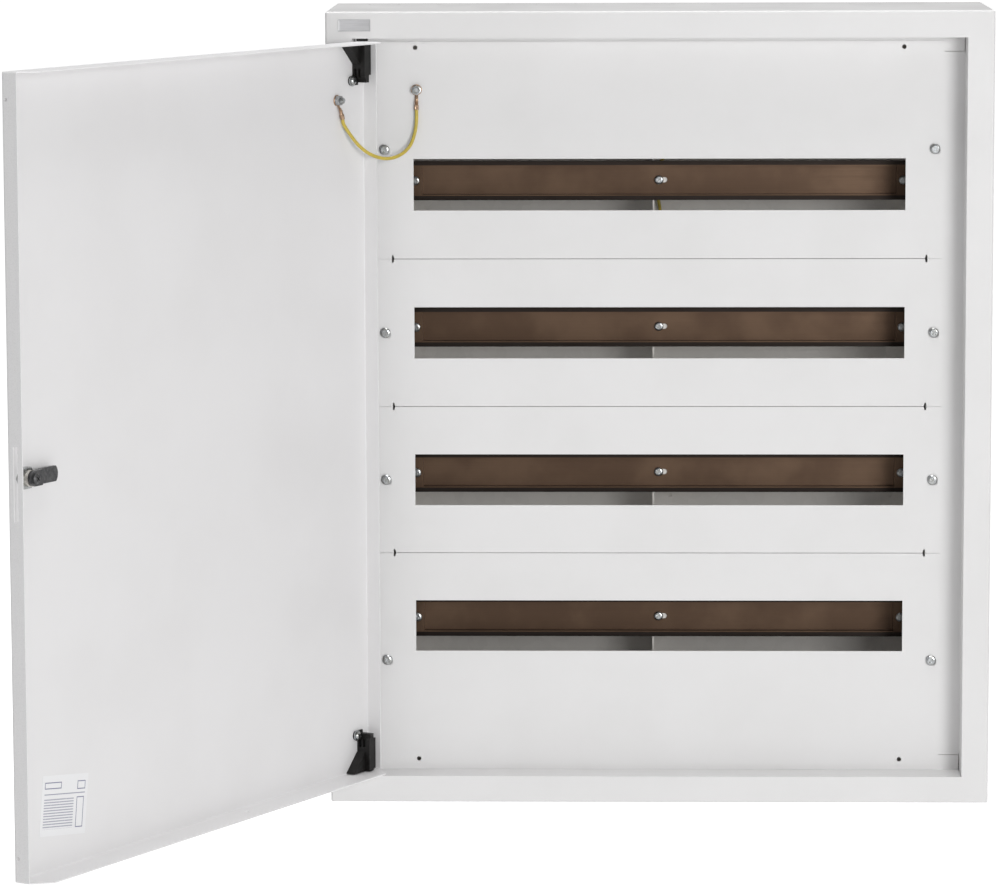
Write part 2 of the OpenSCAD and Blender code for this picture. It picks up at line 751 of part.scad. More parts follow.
module door_panel() {
    h = door_top - door_bottom;
    color("whitesmoke") on_door() difference() {
        translate([door_w / 2, 0, (door_top + door_bottom) / 2]) difference() {
            rounded_block(door_w, door_end_d, h, bend_r);
            translate([0, sheet_t, 0])
                rounded_block(door_w - 2 * sheet_t, door_end_d, h - 2 * sheet_t, bend_r - sheet_t);
        }
        corner = door_end_d - door_side_d;
        for (u = [0, 1]) translate([u * door_w, 0, -box_h / 2]) mirror([u, 0, 0]) linear_extrude(box_h)
            polygon([[-eps, door_side_d], [sheet_t, door_side_d], [sheet_t + corner, door_end_d],
                [sheet_t + corner, door_end_d + eps], [-eps, door_end_d + eps]]);
        translate([lock_u, -eps, lock_z]) y_cylinder(barrel_d + 2 * fit, 4 * sheet_t);
        translate([door_w - 2 * sheet_t, cam_slot_v - cam_slot_w / 2, cam_slot_z - cam_slot_l / 2])
            cube([4 * sheet_t, cam_slot_w, cam_slot_l]);
        for (z = [-1, 1]) translate([door_w - 2 * sheet_t, door_hole_v, z * door_hole_z])
            rotate([0, 90, 0]) cylinder(d = door_hole_d, h = 4 * sheet_t);
        translate([drain_u, drain_v, door_bottom - eps]) cylinder(d = drain_d, h = 4 * sheet_t);
        for (z = [door_top, door_bottom]) translate([pin_in, pin_back, z])
            cylinder(d = pin_d + 4 * fit, h = 4 * sheet_t, center = true);
    }
}

module door_label() {
    color("white") on_door() translate([label_u, sheet_t, label_z]) rotate([0, -label_tilt, 0])
        plate(label_w, label_h, label_t);
}

// Places a hinge part: s runs from the door's end flange inwards, at the top (1) or at the bottom (-1)
module hinge_end(end) {
    on_door() translate([0, 0, end > 0 ? door_top - sheet_t : door_bottom + sheet_t])
        mirror([0, 0, end > 0 ? 1 : 0]) children();
}

module hinge_block(end) {
    bend = bend_r - sheet_t;
    color("#1c1c1c") hinge_end(end) difference() {
        union() {
            translate([0, block_back, 0]) rotate([90, 0, 0]) linear_extrude(block_back - sheet_t)
                polygon([[bend_r, bend], [block_wide, bend], [block_narrow, block_taper],
                    [block_narrow, block_l], [rib_in, block_l], [rib_in, block_l - 5],
                    [bend_r, block_l - 5]]);
            translate([rib_in, sheet_t, bend])
                cube([block_narrow - rib_in, rib_back - sheet_t, block_l + 1 - bend]);
            translate([rib_in, sheet_t, screw_s - tongue_w / 2])
                cube([screw_u - rib_in, tongue_t, tongue_w]);
            translate([screw_u, sheet_t, screw_s]) y_cylinder(tongue_w, tongue_t);
        }
        translate([pin_in, pin_back, -eps]) cylinder(d = pin_d + 2 * run_clear, h = block_l - 8);
        for (v = [3.2, 7.4]) translate([block_narrow - 2, v, block_l - 11]) cube([2 + eps, 2.4, 8]);
        translate([screw_u, sheet_t - eps, screw_s]) y_cylinder(hinge_screw_d + 2 * fit, 2 * eps + tongue_t);
        translate([screw_u, sheet_t + tongue_t, screw_s]) y_cylinder(washer_d + 4 * fit, rib_back);
    }
}

module hinge_block_top() {
    hinge_block(1);
}

module hinge_block_bottom() {
    hinge_block(-1);
}

module hinge_pin(end, gap) {
    color("silver") hinge_end(end) translate([pin_in, pin_back, -sheet_t - gap - sheet_t - 1])
        cylinder(d = pin_d, h = block_l - 9 + 2 * sheet_t + gap + 1);
}

module hinge_pin_top() {
    hinge_pin(1, door_gap_top);
}

module hinge_pin_bottom() {
    hinge_pin(-1, door_gap_bottom);
}

module hinge_screws() {
    color("silver") for (end = [-1, 1]) hinge_end(end)
        translate([screw_u, sheet_t + tongue_t, screw_s]) mirror([0, 1, 0]) {
            rotate([90, 0, 0]) cylinder(d = washer_d, h = washer_t);
            translate([0, -washer_t, 0]) pan_screw(7, 2.4, hinge_screw_d, washer_t + tongue_t);
        }
}

module pivot_bush(end, gap) {
    color("#1c1c1c") translate([hinge_x, hinge_y, end * open_h / 2]) mirror([0, 0, end > 0 ? 0 : 1])
        difference() {
            union() {
                intersection() {
                    translate([0, 0, -gap + hinge_seat_gap]) cylinder(d = bush_d, h = gap - hinge_seat_gap);
                    translate([-bush_d, bush_front - pin_back, -gap]) cube([2 * bush_d, bush_d, gap]);
                }
                cylinder(d = bush_spigot_d, h = bush_spigot_l);
            }
            translate([0, 0, -gap - eps])
                cylinder(d = pin_d + 2 * run_clear, h = gap + bush_spigot_l + 2 * eps);
        }
}

module pivot_bush_top() {
    pivot_bush(1, door_gap_top);
}

module pivot_bush_bottom() {
    pivot_bush(-1, door_gap_bottom);
}

// ---- Lock ----
module at_lock() {
    on_door() translate([lock_u, 0, lock_z]) children();
}

module lock_barrel() {
    color("silver") at_lock() difference() {
        union() {
            translate([0, -barrel_head_h, 0]) y_cylinder(barrel_head_d, barrel_head_h);
            y_cylinder(barrel_d, cam_hub_v - 0.1);
        }
        translate([0, -barrel_head_h - eps, 0])
            y_cylinder(plug_d + 2 * run_clear, cam_hub_v + barrel_head_h + 2 * eps);
    }
}

module lock_nut() {
    color("silver") at_lock() translate([0, sheet_t + nut_h, 0]) hex_nut(nut_af, nut_h, barrel_d + 0.1);
}

module lock_plug() {
    color("darkgray") at_lock() difference() {
        union() {
            translate([0, -barrel_head_h, 0]) y_cylinder(plug_d, cam_hub_v + barrel_head_h);
            translate([-2.5, cam_hub_v, -2.5]) cube([5, cam_t, 5]);
        }
        translate([0, cam_hub_v + cam_t - 5, 0]) y_cylinder(cam_screw_d + 2 * fit, 5 + eps);
        translate([0, -barrel_head_h - eps, 0]) rotate([-90, 0, 0]) difference() {
            cylinder(d = 6.5, h = 4);
            cylinder(d = 3, h = 5);
        }
    }
}

// The cam is cranked: its hub stands clear of the nut, and its end lies lower, level with the slots
module lock_cam() {
    drop = cam_hub_v - cam_v;
    bend = cam_t * tan(22.5);
    deep = drop + cam_t;
    color("dimgray") at_lock() difference() {
        intersection() {
            translate([0, 0, -cam_w / 2]) linear_extrude(cam_w) polygon([[-cam_reach, cam_v],
                [-cam_hub_l - drop, cam_v], [-cam_hub_l, cam_hub_v], [cam_w / 2, cam_hub_v],
                [cam_w / 2, cam_hub_v + cam_t], [-cam_hub_l - bend, cam_hub_v + cam_t],
                [-cam_hub_l - drop - bend, cam_v + cam_t], [-cam_reach, cam_v + cam_t]]);
            translate([0, cam_v, 0]) union() {
                translate([-cam_reach, 0, -cam_w]) cube([cam_reach, deep, 2 * cam_w]);
                y_cylinder(cam_w, deep);
            }
            translate([-cam_reach + cam_w * 0.7, cam_v, 0]) union() {
                y_cylinder(cam_w * 1.4, deep);
                translate([0, 0, -cam_w]) cube([cam_reach, deep, 2 * cam_w]);
            }
        }
        translate([-2.6, cam_hub_v - eps, -2.6]) cube([5.2, cam_t + 2 * eps, 5.2]);
    }
}

module cam_screw() {
    color("silver") at_lock() translate([0, cam_hub_v + cam_t, 0]) mirror([0, 1, 0]) {
        pan_screw(8.5, 2.8, cam_screw_d, 4.5);
    }
}

module door_earth_stud() {
    color("silver") on_door() translate([door_stud_u, sheet_t, door_stud_z]) y_cylinder(stud_d, stud_l);
}

// Turns what stands towards -Y so that it stands into the door's tray
module on_door_stud(v) {
    on_door() translate([door_stud_u, sheet_t + v, door_stud_z]) mirror([0, 1, 0]) children();
}

module door_earth_nut() {
    color("silver") on_door_stud(lug_t) hex_nut(nut_af5, nut_h5, stud_d + 0.1);
}

module door_ring_lug() {
    color("peru") on_door_stud(0) rotate([0, door_lug_tilt, 0]) ring_lug(barrel_lug_d, lead_d);
}

body_shell();
back_panel();
support_left();
support_right();
support_middle();
support_rivets();
rail_1();
rail_2();
rail_3();
rail_4();
rail_screws();
cover_top();
cover_upper();
cover_lower();
cover_bottom();
cover_screws();
cover_nuts();
pivot_bush_top();
pivot_bush_bottom();
nameplate();
cover_earth_stud();
cover_earth_nut();
cover_ring_lug();
bonding_lead();
chassis_earth_stud();
chassis_earth_nut();
chassis_ring_lug();
inside_earth_wire();
earth_bar();
earth_bar_screws();
earth_bar_holders();
neutral_bar();
neutral_bar_screws();
neutral_bar_holders();
door_panel();
door_label();
hinge_block_top();
hinge_block_bottom();
hinge_pin_top();
hinge_pin_bottom();
hinge_screws();
lock_barrel();
lock_nut();
lock_plug();
lock_cam();
cam_screw();
door_earth_stud();
door_earth_nut();
door_ring_lug();
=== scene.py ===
# %% [markdown]
# # A wall cabinet for rows of modular devices
# The cabinet is a box of bent sheet steel with a door on two pins. Behind the door are four cover
# plates with long cut-outs, and behind those are the rails that the devices clip on to. The hard
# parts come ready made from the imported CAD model, so this script does what is left: it sets up the
# view, models the small pieces that deserve more detail, and gives every part its finish.

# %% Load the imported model
import json
import math

import bmesh
import bpy
from mathutils import Matrix, Vector


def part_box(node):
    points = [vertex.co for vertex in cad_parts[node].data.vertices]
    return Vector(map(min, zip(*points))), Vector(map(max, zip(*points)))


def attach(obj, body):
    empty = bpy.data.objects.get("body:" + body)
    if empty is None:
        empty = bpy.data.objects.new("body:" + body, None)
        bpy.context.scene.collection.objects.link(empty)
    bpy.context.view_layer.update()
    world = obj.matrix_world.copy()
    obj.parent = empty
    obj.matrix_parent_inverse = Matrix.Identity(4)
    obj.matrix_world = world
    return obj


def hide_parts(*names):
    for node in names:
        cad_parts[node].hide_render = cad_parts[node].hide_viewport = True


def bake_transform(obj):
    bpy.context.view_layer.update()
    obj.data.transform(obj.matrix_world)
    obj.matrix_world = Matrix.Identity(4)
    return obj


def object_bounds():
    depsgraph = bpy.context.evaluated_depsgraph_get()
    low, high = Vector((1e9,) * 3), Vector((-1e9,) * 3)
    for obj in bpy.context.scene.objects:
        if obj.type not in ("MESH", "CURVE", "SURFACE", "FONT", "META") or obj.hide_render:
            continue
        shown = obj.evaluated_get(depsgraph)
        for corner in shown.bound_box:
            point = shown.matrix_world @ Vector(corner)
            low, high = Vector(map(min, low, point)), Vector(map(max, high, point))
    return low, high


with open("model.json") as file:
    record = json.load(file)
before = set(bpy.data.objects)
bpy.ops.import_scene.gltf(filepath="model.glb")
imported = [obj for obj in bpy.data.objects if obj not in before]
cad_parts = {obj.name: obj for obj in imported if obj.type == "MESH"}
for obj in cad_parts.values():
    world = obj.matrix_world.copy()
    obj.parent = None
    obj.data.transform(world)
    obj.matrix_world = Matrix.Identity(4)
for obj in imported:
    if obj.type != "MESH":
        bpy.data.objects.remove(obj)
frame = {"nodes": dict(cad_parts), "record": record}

cad_low, cad_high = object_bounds()
MM = 0.001
scene = bpy.context.scene
print("CAD box", [round(v, 4) for v in cad_high - cad_low])

# %% [markdown]
# ## The camera
# A cabinet like this is shown from a few metres away with a long lens, so that its edges stay
# nearly parallel. The camera is turned in three steps, as a tripod head is: first it is stood up
# to look along +Y, then rolled, tipped and panned.

# %% Place the camera
camera = bpy.data.objects.new("camera", bpy.data.cameras.new("camera"))
scene.collection.objects.link(camera)
scene.camera = camera
camera.data.lens = 175.105
camera.data.sensor_width = 36.0
camera.data.clip_end = 200.0
camera.location = (-0.0269, -4.4059, 0.5358)
pan, tip, roll = (math.radians(a) for a in (1.528, -7.601, 0.195))
stand_up = Matrix.Rotation(math.pi / 2, 4, "X")
head = Matrix.Rotation(pan, 4, "Z") @ Matrix.Rotation(tip, 4, "X") @ Matrix.Rotation(roll, 4, "Y")
camera.rotation_euler = (head @ stand_up).to_euler()
print("camera looks along", [round(v, 3) for v in head @ Vector((0, 1, 0))])

# %% [markdown]
# ## Where the door is
# Everything on the door is easiest to place while the door is shut: u runs across it from the
# hinge, v runs into its tray, and z is up. One matrix then swings such a point about the hinge
# pins to where the open door really is.

# %% Set out the door's own directions
HINGE = Vector((-258.8, -166.0, 0)) * MM
PIN_IN, PIN_BACK = 6.7 * MM, 4.0 * MM
DOOR_OPEN = math.radians(119)
DOOR_W, DOOR_TOP, DOOR_BOTTOM = 530 * MM, 324 * MM, -322 * MM
SHEET = 1.2 * MM
swing = Matrix.Rotation(-DOOR_OPEN, 4, "Z")
door_place = Matrix.Translation(HINGE) @ swing @ Matrix.Translation((-PIN_IN, -PIN_BACK, 0))
across_door = (swing @ Vector((1, 0, 0, 0))).xyz
into_tray = (swing @ Vector((0, 1, 0, 0))).xyz
door_corner = door_place @ Vector((0, 0, 0))
print("free edge of the door at", [round(v, 3) for v in door_place @ Vector((DOOR_W, 0, 0))])

# %% [markdown]
# ## The bonding lead
# A short earth lead joins the cover plate to the door, so that the door is earthed as well. It is
# fixed at both ends and hangs slack between them. It is made as a mesh: its middle line is a list
# of points, made smooth, and circles are set along it and bridged. Each point of the mesh
# remembers where it lies round the wire, which the coloured stripe needs later.

# %% Draw a smooth line through the route's points
def smooth_line(points, step):
    points = [Vector(p) for p in points]
    line = [points[0]]
    for i in range(len(points) - 1):
        p0, p1 = points[max(i - 1, 0)], points[i]
        p2, p3 = points[i + 1], points[min(i + 2, len(points) - 1)]
        parts = max(2, round((p2 - p1).length / step))
        for k in range(1, parts + 1):
            t = k / parts
            line.append(0.5 * (2 * p1 + (p2 - p0) * t + (2 * p0 - 5 * p1 + 4 * p2 - p3) * t * t
                               + (3 * p1 - p0 - 3 * p2 + p3) * t ** 3))
    return line


def length_of(line):
    return sum((b - a).length for a, b in zip(line, line[1:]))


LEAD_D = 3.0 * MM
lead_points = [(-213, -140.5, 262.5), (-213, -140.5, 256.5), (-213.4, -141, 249),
               (-214.9, -141.8, 241), (-218.3, -144.5, 232), (-224.3, -149, 225.5),
               (-231.8, -155, 222), (-239.8, -162.5, 221.5), (-247.8, -170.5, 224),
               (-255.3, -177.5, 228.5), (-262.3, -184.5, 235.5), (-268.3, -190, 244),
               (-273.9, -192.62, 253.36), (-274.73, -194.12, 258.06)]
lead_line = smooth_line([Vector(p) * MM for p in lead_points], 2 * MM)
print("lead is", round(length_of(lead_line) / MM, 1), "mm long, on", len(lead_line), "rings")


# %% Sweep a round tube along a line
def sweep(line, diameter, sides=20):
    bm = bmesh.new()
    wrap = bm.verts.layers.float_vector.new("wrap")
    side, rings, run = Vector((0.67, -0.74, 0.05)), [], 0.0
    for i, point in enumerate(line):
        ahead = (line[min(i + 1, len(line) - 1)] - line[max(i - 1, 0)]).normalized()
        side = (side - side.dot(ahead) * ahead).normalized()
        turn = Matrix((side, ahead.cross(side), ahead)).transposed().to_4x4()
        ring = bmesh.ops.create_circle(bm, segments=sides, radius=diameter / 2,
                                       matrix=Matrix.Translation(point) @ turn)["verts"]
        run += (point - line[i - 1]).length if i else 0.0
        for k, vert in enumerate(ring):
            angle = 2 * math.pi * k / sides
            vert[wrap] = (math.cos(angle), math.sin(angle), run)
        rings.append([e for e in {e for v in ring for e in v.link_edges}])
        if i:
            bmesh.ops.bridge_loops(bm, edges=rings[-2] + rings[-1])
    for end in (rings[0], rings[-1]):
        bmesh.ops.edgeloop_fill(bm, edges=end)
    return bm


# %% [markdown]
# ## Turning a mesh into a piece
# Every new piece goes through the same steps: doubled points are merged, its normals are made to
# point outwards, and it is shaded smooth except at its sharp edges. It is then told which part of
# the cabinet it moves with, which finish it has, and which CAD part it stands for.

# %% A helper that finishes a piece
new_pieces = []


SHARP = math.radians(35)


def make_piece(name, bm, body, slot, stands_for):
    bmesh.ops.remove_doubles(bm, verts=bm.verts, dist=1e-6)
    bmesh.ops.recalc_face_normals(bm, faces=bm.faces)
    mesh = bpy.data.meshes.new(name)
    bm.to_mesh(mesh)
    bm.free()
    mesh.shade_smooth()
    mesh.set_sharp_from_angle(angle=SHARP)
    piece = bpy.data.objects.new(name, mesh)
    scene.collection.objects.link(piece)
    if body:
        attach(piece, body)
    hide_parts(*stands_for)
    new_pieces.append((piece, slot))
    print(name, len(mesh.polygons), "faces")
    return piece


# %% Make the bonding lead
bonding_lead = make_piece("bonding_lead_wire", sweep(lead_line, LEAD_D), None,
                          "green_yellow_wire", ["bonding_lead"])

# %% [markdown]
# The inside wire runs from the middle support up to the earth bar, clamped at both ends.

# %% Route the inside wire
WIRE_D = 3.0 * MM
EARTH_BAR_WAY_1, BAR_Y, BAR_Z = 31.0, -62.0, 284.0
inside_points = [(EARTH_BAR_WAY_1, BAR_Y, 287), (EARTH_BAR_WAY_1, BAR_Y, 274), (30.5, -61.2, 263),
                 (28.5, -59.2, 252), (22.5, -56.2, 241), (14, -52.7, 230), (6, -49.7, 218),
                 (1, -46.2, 206), (-0.3, -39.7, 195), (-0.4, -31.2, 186), (-0.3, -21.7, 178),
                 (0.3, -13.2, 171.5), (1.1, -7.7, 166.5), (1.5, -5.2, 161.5), (1.5, -5.2, 157.5)]
inside_line = smooth_line([Vector(p) * MM for p in inside_points], 3 * MM)
make_piece("inside_wire", sweep(inside_line, WIRE_D, 16), "cabinet", "green_yellow_wire",
           ["inside_earth_wire"])
print("inside wire is", round(length_of(inside_line) / MM), "mm long")


# %% [markdown]
# ## Turned pieces
# Studs, nuts and crimp barrels are round, so half of their outline is drawn once and spun about
# its axis. Where the outline meets the axis the doubled points are merged, which closes the pole.

# %% Spin an outline about the Z axis
def lathe(outline, steps=32):
    bm = bmesh.new()
    verts = [bm.verts.new((r, 0, z)) for r, z in outline]
    edges = [bm.edges.new(pair) for pair in zip(verts, verts[1:])]
    bmesh.ops.spin(bm, geom=verts + edges, cent=(0, 0, 0), axis=(0, 0, 1),
                   angle=2 * math.pi, steps=steps, use_merge=True)
    bmesh.ops.remove_doubles(bm, verts=bm.verts, dist=1e-6)
    return bm


def join(*parts):
    whole = bmesh.new()
    for part, place in parts:
        part.transform(place)
        mesh = bpy.data.meshes.new("part")
        part.to_mesh(mesh)
        part.free()
        whole.from_mesh(mesh)
        bpy.data.meshes.remove(mesh)
    return whole


def moved(x=0.0, y=0.0, z=0.0):
    return Matrix.Translation((x, y, z))


# %% [markdown]
# ## Studs and nuts
# A real stud is threaded and a real nut has its corners turned off at 30 degrees, which is what
# gives its edge those six arcs. The thread is drawn as close rings, since a true helix looks the
# same at this size. The nut is first turned as a chamfered disc, and six planes then cut the
# flats, just as a bar would be machined.

# %% A threaded stud and a hexagon nut, standing along +Z
STUD_D, STUD_L, PITCH = 5 * MM, 8 * MM, 0.8 * MM


def threaded_stud(diameter, length):
    crest, root = diameter / 2, diameter / 2 - 0.42 * MM
    outline, z = [(0, 0), (crest, 0), (crest, 0.3 * MM)], 0.5 * MM
    while z < length - 1.2 * PITCH:
        outline += [(root, z), (root, z + 0.1 * MM), (crest, z + 0.4 * MM), (crest, z + 0.5 * MM)]
        z += PITCH
    outline += [(root, length - 0.6 * MM), (root - 0.3 * MM, length), (0, length)]
    return lathe(outline)


def hexagon_nut(flats, height, bore):
    corner = flats / 2 / math.cos(math.pi / 6)
    drop = 0.11 * flats
    inner = bore / 2
    bm = lathe([(inner, 0.35 * MM), (inner + 0.3 * MM, 0), (flats * 0.47, 0), (corner, drop * 0.55),
                (corner, height - drop * 0.55), (flats * 0.47, height), (inner + 0.3 * MM, height),
                (inner, height - 0.35 * MM), (inner, 0.35 * MM)], 48)
    for k in range(6):
        facing = Vector((math.cos(k * math.pi / 3), math.sin(k * math.pi / 3), 0))
        cut = bmesh.ops.bisect_plane(bm, geom=bm.verts[:] + bm.edges[:] + bm.faces[:], dist=1e-7,
                                     plane_co=facing * flats / 2, plane_no=facing,
                                     clear_outer=True)["geom_cut"]
        bmesh.ops.edgeloop_fill(bm, edges=[e for e in cut if isinstance(e, bmesh.types.BMEdge)])
    return bm


# %% [markdown]
# ## Crimped ring lugs
# A ring lug is one strip of copper: a flat ring under the nut, a neck, and a barrel that is rolled
# round the wire and squeezed. The ring is a turned washer and the barrel a turned sleeve. The
# squeeze pushes two bands of the barrel towards its middle from the front, and leaves the marks
# that such a tool does. The ends of the strands show above the barrel.

# %% Make a lug that lies on y = 0, faces -Y and hangs down
LUG_T, LUG_NECK, BARREL_L = 1.0 * MM, 9.5 * MM, 8.0 * MM
HOLE_R, RING_R = 2.65 * MM, 4.8 * MM


def ring_lug(barrel_d, wire_d):
    middle = -LUG_T - wire_d / 2
    ring = lathe([(HOLE_R, 0.1 * MM), (2.75 * MM, 0), (4.65 * MM, 0), (RING_R, 0.15 * MM),
                  (RING_R, 0.85 * MM), (4.65 * MM, LUG_T), (2.75 * MM, LUG_T),
                  (HOLE_R, 0.9 * MM), (HOLE_R, 0.1 * MM)], 40)
    neck = bmesh.new()
    bmesh.ops.create_cube(neck, size=1.0, matrix=Matrix.LocRotScale(
        (0, middle / 2 - 0.1 * MM, -6.9 * MM), Matrix.Rotation(math.radians(-16), 3, "X"),
        (barrel_d - 1.1 * MM, 0.8 * MM, 6.4 * MM)))
    bmesh.ops.bevel(neck, geom=neck.edges[:], offset=0.25 * MM, offset_type="OFFSET", segments=2,
                    profile=0.5, affect="EDGES", material=-1)
    wide, slim, bare = barrel_d / 2, barrel_d / 2 - 0.35 * MM, wire_d * 0.32
    levels = [0, 0.15, 0.7, 1.2, 1.7, 2.2, 2.7, 3.2, 3.6, 4.0, 4.4, 5.0, 5.6, 6.2, 6.8, 7.4, 7.85,
              8]
    sleeve = lathe([(bare, 1.6 * MM), (bare, 0.0)]
                   + [((slim if s < 3.8 else wide) - (0.15 * MM if s in (0, 8) else 0), -s * MM)
                      for s in levels]
                   + [(0, -BARREL_L)], 28)
    for vert in sleeve.verts:
        depth = -vert.co.z / MM
        outside = math.hypot(vert.co.x, vert.co.y) > bare * 1.2
        if outside and vert.co.y < -0.2 * MM and 0.1 < depth < 3.4:
            vert.co.y *= 0.72 + 0.16 * math.cos(depth * 2 * math.pi / 1.1)
        elif outside and vert.co.y < 0 and 4.6 < depth < 7.6:
            fold = max(0.0, 1 - abs(vert.co.x) / (0.8 * MM))
            vert.co.y *= 1 - 0.28 * fold
    strands = lathe([(0, 2.1 * MM), (bare * 0.6, 2.1 * MM), (bare, 1.7 * MM), (bare, 0.1 * MM),
                     (0, 0.1 * MM)], 14)
    barrel_top = Matrix.Translation((0, middle, -LUG_NECK))
    upright = Matrix.Rotation(math.pi / 2, 4, "X")
    return join((ring, upright), (neck, Matrix()), (sleeve, barrel_top), (strands, barrel_top))


# %% [markdown]
# ## Three earth points
# The same stud, nut and lug are used on the cover plate, on the middle support inside and on the
# door. On the door they are mirrored, because there they stand the other way.

# %% Set the studs, nuts and lugs in their places
NUT_AF, NUT_H = 8 * MM, 4 * MM
COVER_Y, SUPPORT_FACE_Y = -138 * MM, -2.7 * MM
mirror_y = Matrix.Scale(-1, 4, (0, 1, 0))
door_point = door_place @ moved(45 * MM, SHEET, 274.5 * MM)
earth_points = {
    "cover": (moved(-213 * MM, COVER_Y, 280 * MM), 0, LEAD_D, "cabinet"),
    "chassis": (moved(1.5 * MM, SUPPORT_FACE_Y, 140 * MM), 180, WIRE_D, "cabinet"),
    "door": (door_point @ mirror_y, 20, LEAD_D, "door")}
towards_front = Matrix.Rotation(math.pi / 2, 4, "X")
for spot, (place, tilt, wire_d, body) in earth_points.items():
    turn = Matrix.Rotation(math.radians(tilt), 4, "Y")
    spin_nut = Matrix.Rotation(math.radians(tilt + 12), 4, "Z")
    stud, nut = threaded_stud(STUD_D, STUD_L), hexagon_nut(NUT_AF, NUT_H, STUD_D + 0.1 * MM)
    stud.transform(place @ towards_front)
    nut.transform(place @ moved(y=-LUG_T) @ towards_front @ spin_nut)
    lug = ring_lug(wire_d + 1 * MM, wire_d)
    lug.transform(place @ turn)
    make_piece(spot + "_stud_threaded", stud, body, "zinc_steel", [spot + "_earth_stud"])
    make_piece(spot + "_nut_chamfered", nut, body, "zinc_steel", [spot + "_earth_nut"])
    make_piece(spot + "_lug_crimped", lug, body, "copper", [spot + "_ring_lug"])

length_of(lead_line)
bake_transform(bonding_lead)

# %% [markdown]
# ## The nameplate and the label
# A small pressed plate sits on the front band. It is left blank. Its face is inset and pushed in,
# so a raised rim is left all round, and the edges are rounded as pressing rounds them.

# %% Press the nameplate
plate_low, plate_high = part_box("nameplate")
plate = bmesh.new()
bmesh.ops.create_cube(plate, size=1.0, matrix=Matrix.LocRotScale(
    (plate_low + plate_high) / 2, Matrix.Identity(3), plate_high - plate_low))
front = [f for f in plate.faces if f.normal.y < -0.9]
bmesh.ops.inset_region(plate, faces=front, thickness=0.9 * MM, use_even_offset=True)
bmesh.ops.translate(plate, vec=(0, 0.28 * MM, 0), verts=front[0].verts[:])
bmesh.ops.bevel(plate, geom=plate.edges[:], offset=0.12 * MM, offset_type="OFFSET", segments=2,
                profile=0.5, affect="EDGES", material=-1)
make_piece("nameplate_pressed", plate, "cabinet", "silver_plate", ["nameplate"])

# %% [markdown]
# ## Maths on sockets
# A finish is a small graph of nodes. Wiring each by hand is slow to read, so one class wraps an
# output socket and gives it the usual arithmetic signs. Then mask - 0.5 or mask * 0.2 adds the Math
# node that it stands for. Another class holds one finish and adds any other kind of node.

# %% Wrap a socket so that it can be used in sums
class Signal:
    def __init__(self, finish, socket):
        self.finish, self.socket = finish, socket

    def math(self, operation, *values):
        return self.finish.node("ShaderNodeMath", {"operation": operation},
                                dict(enumerate(values)))

    def __add__(self, other):
        return self.math("ADD", self, other)

    def __sub__(self, other):
        return self.math("SUBTRACT", self, other)

    def __mul__(self, other):
        return self.math("MULTIPLY", self, other)

    def __truediv__(self, other):
        return self.math("DIVIDE", self, other)

    def __gt__(self, other):
        return self.math("GREATER_THAN", self, other)

    def __lt__(self, other):
        return self.math("LESS_THAN", self, other)

    def __abs__(self):
        return self.math("ABSOLUTE", self)

    __radd__, __rmul__ = __add__, __mul__

    def ramp(self, low, high, to_low=0.0, to_high=1.0):
        return self.finish.node("ShaderNodeMapRange", {"interpolation_type": "SMOOTHSTEP"},
                                {"Value": self, "From Min": low, "From Max": high,
                                 "To Min": to_low, "To Max": to_high})


# %% A finish, which is a material and the tools to paint it
class Finish:
    def __init__(self, name, **constants):
        self.material = bpy.data.materials.new(name)
        self.material.use_nodes = True
        self.tree = self.material.node_tree
        self.shader = self.tree.nodes["Principled BSDF"]
        for socket, value in constants.items():
            self.shader.inputs[socket.replace("_", " ")].default_value = value
        self.place = self.node("ShaderNodeTexCoord", output="Object")

    def plug(self, socket, value):
        if isinstance(value, Signal):
            self.tree.links.new(value.socket, socket)
        elif hasattr(value, "__len__") and len(value) == 3 and socket.type == "RGBA":
            socket.default_value = (*value, 1.0)
        else:
            socket.default_value = value

    def node(self, kind, settings=None, values=None, output=0):
        node = self.tree.nodes.new(kind)
        for key, value in (settings or {}).items():
            setattr(node, key, value)
        for key, value in (values or {}).items():
            self.plug(node.inputs[key], value)
        return Signal(self, node.outputs[output])

    def noise(self, size, detail=2.0, rough=0.5, place=None):
        return self.node("ShaderNodeTexNoise", {}, {"Vector": place or self.place,
                         "Scale": 1 / size, "Detail": detail, "Roughness": rough})

    def along(self, direction, start=(0, 0, 0)):
        dot = self.node("ShaderNodeVectorMath", {"operation": "DOT_PRODUCT"},
                        {0: self.place, 1: tuple(direction)}, output="Value")
        return dot - Vector(direction).dot(Vector(start))

    def stretched(self, scale):
        return self.node("ShaderNodeMapping", {"vector_type": "TEXTURE"},
                         {"Vector": self.place, "Scale": scale})

    def blend(self, factor, a, b):
        return self.node("ShaderNodeMix", {"data_type": "RGBA"}, {0: factor, 6: a, 7: b}, output=2)

    def bump(self, height, depth):
        return self.node("ShaderNodeBump", {}, {"Height": height, "Distance": depth,
                                                "Strength": 1.0})

    def set(self, **sockets):
        for name, value in sockets.items():
            self.plug(self.shader.inputs[name.replace("_", " ")], value)
        return self


finishes = {}

# %% [markdown]
# ## Powder coat
# Powder is sprayed dry on the sheet and melts into a skin that is never quite flat: it keeps a fine
# ripple, called orange peel, about a millimetre across. It is slightly thicker and whiter in some
# places, it gathers fine dust, and hands leave it a little glossier. The ripple goes into the bump,
# and the rest is a few per cent of colour and roughness.

# %% Mix the smooth white coat
COAT_SHINE = 0.45
PEEL_SIZE, PEEL_DEPTH = 1.1 * MM, 0.02 * MM


